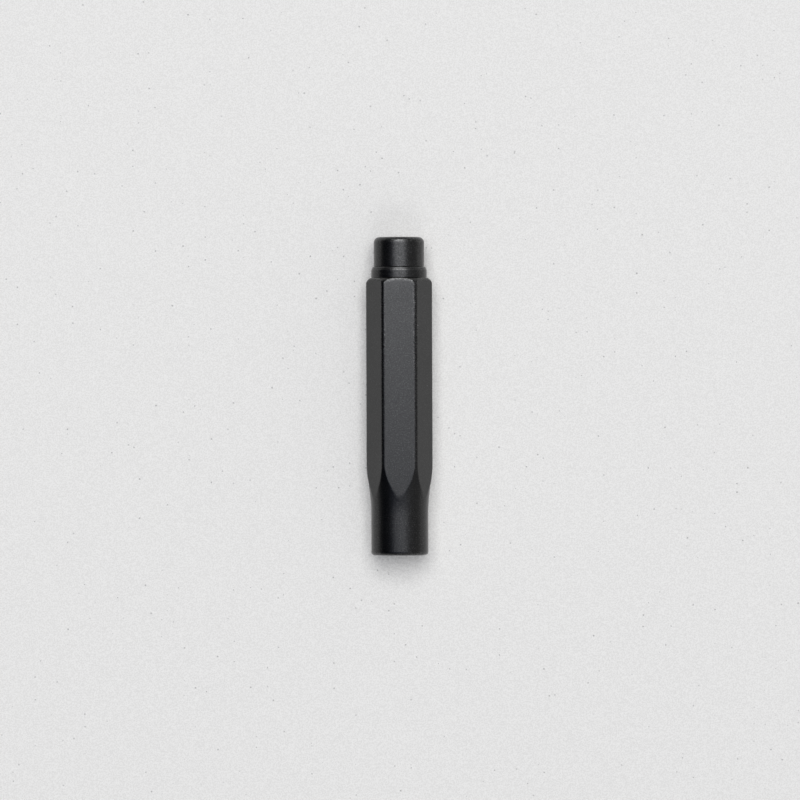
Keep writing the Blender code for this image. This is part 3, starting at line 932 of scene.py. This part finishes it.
def anodised_finish(finish):
    """Bead-blasted aluminium under a black anodised layer: matte grain with painted glints that are stronger
    on bends, faint mottle, rubbed edges that also paint a highlight along them, and dust.

    Three pieces share it, so it is built once.
    """
    name = "blasted black anodising"
    made = bpy.data.materials.get(name)
    if made:
        return made
    made, tree, shader, vector = new_finish(name)
    grain = use_effect(tree, surface_grain, vector, Scale=METAL_GRAIN)
    edge = attribute(tree, "edge")
    # rubbed edges: partly real rub, partly a painted highlight along the rolled edges
    rub_and_highlight = use_effect(tree, edge_rub_and_highlight, vector, Edge=edge, Scale=METAL_RUB_AND_HIGHLIGHT_SCALE, Amount=METAL_RUB_AND_HIGHLIGHT_AMOUNT)["Mask"]
    dust = use_effect(tree, settled_dust, vector)["Mask"]
    black = tuple(finish.anodised)
    plain = speckled(tree, grain, black, SPECKLE_ON_FLATS)
    # stronger speckle where the metal bends: a painted sparkle of the highlights on fillets and edges
    sparkling = speckled(tree, grain, black, SPECKLE_AND_SPARKLE_ON_BENDS)
    blasted = mix_colour(tree, attribute(tree, "bend"), plain, sparkling)
    edge_rubbed_and_highlighted = mix_colour(tree, rub_and_highlight, blasted, shade(black, RUBBED_AND_HIGHLIGHTED_METAL))
    matte = mottled_roughness(tree, grain, METAL_ROUGHNESS)
    polished = math_node(tree, "MULTIPLY", rub_and_highlight, RUBBED_SMOOTHER)
    looks = {
        "Base Color": mix_colour(tree, dust, edge_rubbed_and_highlighted, tuple(finish.dust)),
        "Metallic": math_node(tree, "SUBTRACT", 1.0, dust),
        "Roughness": math_node(tree, "SUBTRACT", matte, polished),
        "Normal": relief(tree, grain["Height"], METAL_RELIEF),
    }
    feed(tree, shader, looks)
    return made


def rubber_finish(finish):
    """Moulded black rubber with a soft skin and a little bloom."""
    made, tree, shader, vector = new_finish("moulded rubber")
    grain = use_effect(tree, surface_grain, vector, Scale=RUBBER_GRAIN)
    looks = {
        "Base Color": mottled_colour(tree, grain, tuple(finish.rubber), RUBBER_BLOOM),
        "Roughness": mottled_roughness(tree, grain, RUBBER_ROUGHNESS),
        "Normal": relief(tree, grain["Height"], RUBBER_RELIEF),
    }
    feed(tree, shader, looks)
    return made


def acetal_finish(finish):
    """Black plastic with the fine rings that a lathe leaves along its axis."""
    made, tree, shader, vector = new_finish("turned acetal")
    grain = use_effect(tree, surface_grain, vector, Scale=ACETAL_GRAIN)
    along = add(tree, "ShaderNodeSeparateXYZ", {"Vector": vector}).outputs["Y"]
    rings = math_node(tree, "SINE", math_node(tree, "MULTIPLY", along, 2 * math.pi / LATHE_FEED))
    height = math_node(tree, "ADD", math_node(tree, "MULTIPLY", rings, LATHE_SHARE), grain["Height"])
    looks = {
        "Base Color": mottled_colour(tree, grain, tuple(finish.acetal), PALER_ACETAL),
        "Roughness": mottled_roughness(tree, grain, ACETAL_ROUGHNESS),
        "Normal": relief(tree, height, ACETAL_RELIEF),
    }
    feed(tree, shader, looks)
    return made


def vinyl_finish(finish):
    """White eraser vinyl, dry and slightly speckled, with graphite rubbed into its working edge."""
    made, tree, shader, vector = new_finish("eraser vinyl")
    grain = use_effect(tree, surface_grain, vector, Scale=VINYL_GRAIN)
    edge = attribute(tree, "edge")
    rub = use_effect(tree, edge_rub_and_highlight, vector, Edge=edge, Scale=VINYL_RUB, Amount=VINYL_RUB_AMOUNT)["Mask"]
    white = tuple(finish.vinyl)
    clean = mottled_colour(tree, grain, white, DULLER_VINYL)
    looks = {
        "Base Color": mix_colour(tree, rub, clean, shade(white, GRAPHITE)),
        "Roughness": mottled_roughness(tree, grain, VINYL_ROUGHNESS),
        "Normal": relief(tree, grain["Height"], VINYL_RELIEF),
    }
    feed(tree, shader, looks)
    shader.inputs["Subsurface Weight"].default_value = VINYL_DEPTH_WEIGHT
    shader.inputs["Subsurface Scale"].default_value = VINYL_DEPTH
    return made


def felt_finish(finish):
    """Pressed felt: matted fibres at two scales."""
    made, tree, shader, vector = new_finish("pressed felt")
    shader.inputs["Roughness"].default_value = FELT_ROUGHNESS
    grain = use_effect(tree, surface_grain, vector, Scale=FELT_GRAIN)
    lay = add(tree, "ShaderNodeMapping", {"Vector": vector, "Scale": FIBRE_LAY}).outputs["Vector"]
    fibres = noise(tree, lay, FELT_FIBRES)
    grey = tuple(finish.felt)
    height = math_node(tree, "ADD", grain["Height"], fibres)
    looks = {
        "Base Color": mix_colour(tree, ramp(tree, fibres, FIBRE_RANGE), grey, shade(grey, PALER_FELT)),
        "Normal": relief(tree, height, FELT_RELIEF),
    }
    feed(tree, shader, looks)
    return made


def floor_finish(stage):
    """Plain pale board with a fine grain and pits. It glows a little for the lens and for reflections alone,
    which lifts its shadows, and the glow's grain paints the shading of the board's tooth in them.
    """
    made, tree, shader, vector = new_finish("pale board")
    shader.inputs["Roughness"].default_value = BOARD_ROUGHNESS
    grain = use_effect(tree, surface_grain, vector, Scale=BOARD_GRAIN)["Grain"]
    pits = use_effect(tree, settled_dust, vector, Scale=BOARD_PITS, Size=PIT_SIZE)["Mask"]
    dark, light, pit = (shade(stage.floor, factor) for factor in (DARK_BOARD, LIGHT_BOARD, PIT))
    path = add(tree, "ShaderNodeLightPath").outputs
    seen = math_node(tree, "ADD", path["Is Camera Ray"], path["Is Glossy Ray"])
    seen = math_node(tree, "ADD", seen, path["Is Transmission Ray"])
    looks = {
        "Base Color": mix_colour(tree, pits, mix_colour(tree, grain, dark, light), pit),
        # the glow's grain is a painted shading of the board's tooth, strongest in the floor's shadows
        "Emission Color": mix_colour(tree, grain, TOOTH_SHADING_GLOW_WHERE_DARK, TOOTH_SHADING_GLOW_WHERE_LIGHT),
        "Emission Strength": math_node(tree, "MULTIPLY", seen, stage.floor_glow),
    }
    feed(tree, shader, looks)
    return made


# Pieces


def settle(piece, body, node):
    """The piece moves with its body and stands for its node, whose solid is hidden."""
    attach(piece, body)
    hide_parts(node)


class PENCILCAP_OT_barrel(Operator):
    """Build the hexagonal barrel with its taper, crown, bore and thread"""

    bl_idname = "pencil_cap.barrel"
    bl_label = "Barrel"

    def execute(self, context):
        scene = context.scene
        barrel = scene.cap_barrel
        angle = hexagon_columns(barrel)
        surfaces = (outside_surface(barrel, angle), bore_surface(barrel, scene.cap_holder, angle))
        radius, station = (np.vstack(parts) for parts in zip(*surfaces))
        metal = anodised_finish(scene.cap_finish)
        piece = turned_piece("hexagon_barrel", radius, station, angle, True, metal)
        settle(piece, "barrel", "barrel")
        return {"FINISHED"}


class PENCILCAP_OT_rubber_rings(Operator):
    """Build the two rings that grip the pencil, the ring under the collar and the ring that holds the knob"""

    bl_idname = "pencil_cap.rubber_rings"
    bl_label = "Rubber rings"

    def execute(self, context):
        rubber = rubber_finish(context.scene.cap_finish)
        for node, name, body in (
            ("front_grip_ring", "front_rubber_ring", "barrel"),
            ("rear_grip_ring", "rear_rubber_ring", "barrel"),
            ("collar_seal_ring", "collar_rubber_ring", "collar_seal"),
            ("knob_ring", "knob_rubber_ring", "eraser_unit"),
        ):
            settle(rubber_ring(name, node, rubber), body, node)
        return {"FINISHED"}


class PENCILCAP_OT_sleeves(Operator):
    """Build the plain sleeves that keep the grip rings in place"""

    bl_idname = "pencil_cap.sleeves"
    bl_label = "Sleeves"

    def execute(self, context):
        scene = context.scene
        plastic = acetal_finish(scene.cap_finish)
        inner = scene.cap_barrel.mouth_bore
        for node, name in (("grip_spacer", "spacer_sleeve"), ("liner_tube", "liner_sleeve")):
            first, last = span(node)
            outer = reach(node)
            corners = [
                (inner, first, SLEEVE_BORE_EDGE),
                (outer, first, SLEEVE_EDGE, SLEEVE_ROWS),
                (outer, last, SLEEVE_EDGE),
                (inner, last, SLEEVE_BORE_EDGE, SLEEVE_ROWS),
            ]
            piece = round_piece(name, corners, True, plastic)
            settle(piece, "barrel", node)
        return {"FINISHED"}


class PENCILCAP_OT_eraser_holder(Operator):
    """Build the eraser holder: threaded stem, collar and hollow spigot"""

    bl_idname = "pencil_cap.eraser_holder"
    bl_label = "Eraser holder"

    def execute(self, context):
        scene = context.scene
        angle, radius, station = holder_surface(scene.cap_holder)
        metal = anodised_finish(scene.cap_finish)
        piece = turned_piece("threaded_holder", radius, station, angle, False, metal)
        settle(piece, "eraser_unit", "eraser_holder")
        return {"FINISHED"}


class PENCILCAP_OT_eraser(Operator):
    """Build the eraser plug"""

    bl_idname = "pencil_cap.eraser"
    bl_label = "Eraser"

    def execute(self, context):
        first, last = span("eraser")
        outer = reach("eraser")
        corners = [
            (0.0, first),
            (outer, first, ERASER_LOW_EDGE, ERASER_ROWS),
            (outer, last, ERASER_EDGE),
            (0.0, last),
        ]
        piece = round_piece("eraser_plug", corners, False, vinyl_finish(context.scene.cap_finish))
        settle(piece, "eraser_unit", "eraser")
        return {"FINISHED"}


class PENCILCAP_OT_point_pad(Operator):
    """Build the felt disc that the pencil's point meets"""

    bl_idname = "pencil_cap.point_pad"
    bl_label = "Point pad"

    def execute(self, context):
        first, last = span("point_pad")
        outer = reach("point_pad")
        corners = [
            (0.0, first),
            (outer, first, PAD_LOW_EDGE, PLAIN_ROWS),
            (outer, last, PAD_EDGE),
            (0.0, last),
        ]
        piece = round_piece("felt_disc", corners, False, felt_finish(context.scene.cap_finish))
        settle(piece, "eraser_unit", "point_pad")
        return {"FINISHED"}


class PENCILCAP_OT_knob(Operator):
    """Build the smooth knob that covers the eraser"""

    bl_idname = "pencil_cap.knob"
    bl_label = "Knob"

    def execute(self, context):
        knob = context.scene.cap_knob
        first, last = span("knob")
        first -= knob.skirt_drop
        corners = [
            (0.0, last - knob.roof),
            (knob.bore_radius, last - knob.roof, ROOF_CORNER),
            (knob.bore_radius, first, SKIRT_BORE_EDGE),
            (knob.knob_radius, first, knob.skirt_edge, PLAIN_ROWS),
            (knob.knob_radius, last, knob.edge_radius),
            (0.0, last),
        ]
        piece = round_piece("turned_knob", corners, False, anodised_finish(context.scene.cap_finish))
        settle(piece, "knob", "knob")
        return {"FINISHED"}


# Stage


def make_floor(scene, stage, height):
    """A level square that the barrel's lowest flat lies on."""
    half = stage.floor_size / 2
    corners = np.array(((-half, -half), (half, -half), (half, half), (-half, half)))
    mesh = bpy.data.meshes.new("floor")
    mesh.from_pydata(np.insert(corners, 2, height, axis=1), [], [(0, 1, 2, 3)])
    mesh.materials.append(floor_finish(stage))
    floor = bpy.data.objects.new("floor", mesh)
    scene.collection.objects.link(floor)
    return floor


def make_panel(scene, stage, name, size, glow, place, tilt=0.0):
    """A soft rectangle of light that faces straight down, or leans back towards the cap by a tilt.

    Its power is pi times its radiance times its area.
    """
    lamp = bpy.data.lights.new(name, "AREA")
    lamp.shape = "RECTANGLE"
    lamp.size, lamp.size_y = size
    lamp.energy = math.pi * glow * size[0] * size[1]
    lamp.color = stage.light
    panel = bpy.data.objects.new(name, lamp)
    panel.location = place
    panel.rotation_euler = (-tilt, 0.0, 0.0)
    panel.visible_camera = False
    scene.collection.objects.link(panel)
    return panel


def light_only(panels, name, floor, state):
    """The panels light the floor alone where state is INCLUDE, and all but the floor where it is EXCLUDE."""
    listed = bpy.data.collections.new(name)
    listed.objects.link(floor)
    listed.collection_objects[0].light_linking.link_state = state
    for panel in panels:
        panel.light_linking.receiver_collection = listed


def make_lights(scene, stage, floor):
    """A softbox that leans over the cap from past its knob, a panel above it, and two for the floor."""
    away, tilt = stage.softbox_distance, stage.softbox_tilt
    size = (stage.softbox_width, stage.softbox_height)
    place = (stage.softbox_x, away * math.sin(tilt), away * math.cos(tilt))
    softbox = make_panel(scene, stage, "softbox", size, stage.softbox_glow, place, tilt)
    size = (stage.overhead_width, stage.overhead_depth)
    place = (stage.overhead_x, stage.overhead_y, stage.overhead_rise)
    overhead = make_panel(scene, stage, "overhead panel", size, stage.overhead_glow, place)
    light_only((softbox, overhead), "lit by the panels", floor, "EXCLUDE")
    size = (stage.floor_lamp_width, stage.floor_lamp_depth)
    place = (stage.floor_lamp_x, stage.floor_lamp_y, stage.floor_lamp_rise)
    floor_lamp = make_panel(scene, stage, "floor lamp", size, stage.floor_lamp_glow, place)
    size = (stage.floor_fill_size, stage.floor_fill_size)
    place = (stage.floor_fill_x, stage.floor_fill_y, stage.floor_lamp_rise)
    floor_fill = make_panel(scene, stage, "floor fill", size, stage.floor_fill_glow, place)
    light_only((floor_lamp, floor_fill), "lit by the floor lamps", floor, "INCLUDE")


def make_room(scene, stage):
    """The room: nearly black on the left, grey on the right, bluer above, with a soft fill past the mouth."""
    world = bpy.data.worlds.new("studio room")
    scene.world = world
    world.use_nodes = True
    tree = world.node_tree
    facing = add(tree, "ShaderNodeTexCoord").outputs["Generated"]
    parts = add(tree, "ShaderNodeSeparateXYZ", {"Vector": facing}).outputs
    right = ramp(tree, parts["X"], ROOM_TO_RIGHT)
    above = ramp(tree, parts["Z"], ROOM_UPWARDS)
    past_mouth = ramp(tree, parts["Y"], ROOM_PAST_MOUTH, ends=(1.0, 0.0))
    room = mix_colour(tree, right, tuple(stage.room_left), tuple(stage.room_right))
    room = mix_colour(tree, above, room, tuple(stage.ceiling), "ADD")
    room = mix_colour(tree, past_mouth, room, tuple(stage.fill), "ADD")
    tree.links.new(room, tree.nodes["Background"].inputs["Color"])


def make_camera(scene, stage):
    """A long lens that looks straight down, with its picture as wide as the field at the cap's axis."""
    lens = bpy.data.cameras.new("camera")
    lens.lens = lens.sensor_width * stage.camera_rise / stage.field
    camera = bpy.data.objects.new("camera", lens)
    camera.location = (stage.camera_x, stage.camera_y, AXIS_Z + stage.camera_rise)
    camera.rotation_euler = (0.0, 0.0, stage.roll)
    scene.collection.objects.link(camera)
    scene.camera = camera


class PENCILCAP_OT_stage(Operator):
    """Build the floor, the light and the camera"""

    bl_idname = "pencil_cap.stage"
    bl_label = "Stage"

    def execute(self, context):
        scene = context.scene
        stage = scene.cap_stage
        floor = make_floor(scene, stage, AXIS_Z - scene.cap_barrel.flat_radius)
        make_lights(scene, stage, floor)
        make_room(scene, stage)
        make_camera(scene, stage)
        scene.view_settings.view_transform = "Standard"
        return {"FINISHED"}


# Add-on


class PENCILCAP_PT_panel(Panel):
    """Lists the pieces of the cap and its stage"""

    bl_idname = "PENCILCAP_PT_panel"
    bl_label = "Pencil Cap"
    bl_space_type = "VIEW_3D"
    bl_region_type = "UI"
    bl_category = "Pencil Cap"

    def draw(self, context):
        for operator in OPERATORS:
            self.layout.operator(operator.bl_idname)


SETTINGS = {
    "cap_barrel": BarrelSizes,
    "cap_holder": HolderSizes,
    "cap_knob": KnobSizes,
    "cap_finish": CapFinish,
    "cap_stage": StageSettings,
}
OPERATORS = (
    PENCILCAP_OT_barrel,
    PENCILCAP_OT_rubber_rings,
    PENCILCAP_OT_sleeves,
    PENCILCAP_OT_eraser_holder,
    PENCILCAP_OT_eraser,
    PENCILCAP_OT_point_pad,
    PENCILCAP_OT_knob,
    PENCILCAP_OT_stage,
)


def register():
    """Make the settings, the operators and the panel known to Blender."""
    for name, group in SETTINGS.items():
        bpy.utils.register_class(group)
        setattr(bpy.types.Scene, name, PointerProperty(type=group))
    for operator in OPERATORS:
        bpy.utils.register_class(operator)
    bpy.utils.register_class(PENCILCAP_PT_panel)


def unregister():
    """Take them out again."""
    bpy.utils.unregister_class(PENCILCAP_PT_panel)
    for operator in reversed(OPERATORS):
        bpy.utils.unregister_class(operator)
    for name, group in SETTINGS.items():
        delattr(bpy.types.Scene, name)
        bpy.utils.unregister_class(group)


def main():
    """Build every piece and the stage."""
    register()
    bpy.ops.pencil_cap.barrel()
    bpy.ops.pencil_cap.rubber_rings()
    bpy.ops.pencil_cap.sleeves()
    bpy.ops.pencil_cap.eraser_holder()
    bpy.ops.pencil_cap.eraser()
    bpy.ops.pencil_cap.point_pad()
    bpy.ops.pencil_cap.knob()
    bpy.ops.pencil_cap.stage()


if __name__ == "__main__":
    main()
